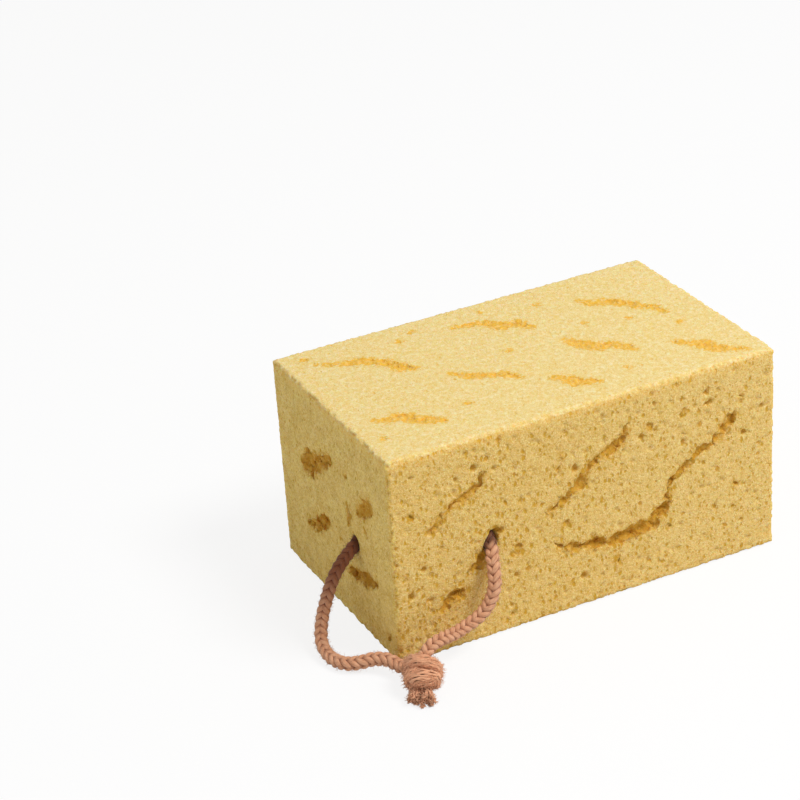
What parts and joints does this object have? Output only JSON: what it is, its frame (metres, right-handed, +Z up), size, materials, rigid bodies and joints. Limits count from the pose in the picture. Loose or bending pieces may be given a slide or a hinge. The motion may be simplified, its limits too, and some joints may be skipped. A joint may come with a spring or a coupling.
{
  "type": "cleaning sponge",
  "caption": "Rectangular block of open-cell cleaning foam with torn pits, and a braided cord loop knotted through one corner.",
  "frame": {"origin": "middle of the block's underside, on the surface that it rests on", "axes": "+X along the block's length, +Y across it away from the face that the cord comes out of, +Z up"},
  "size_m": [0.2274, 0.1598, 0.104],
  "materials": {
    "foam": "dry open-cell foam, pale yellow, deeper orange-yellow inside its cells",
    "cord": "braided cotton, dusty terracotta pink"
  },
  "bodies": {
    "root": {"sponge_block": "foam", "cord_loop": "cord", "cord_knot": "cord"}
  },
  "joints": []
}
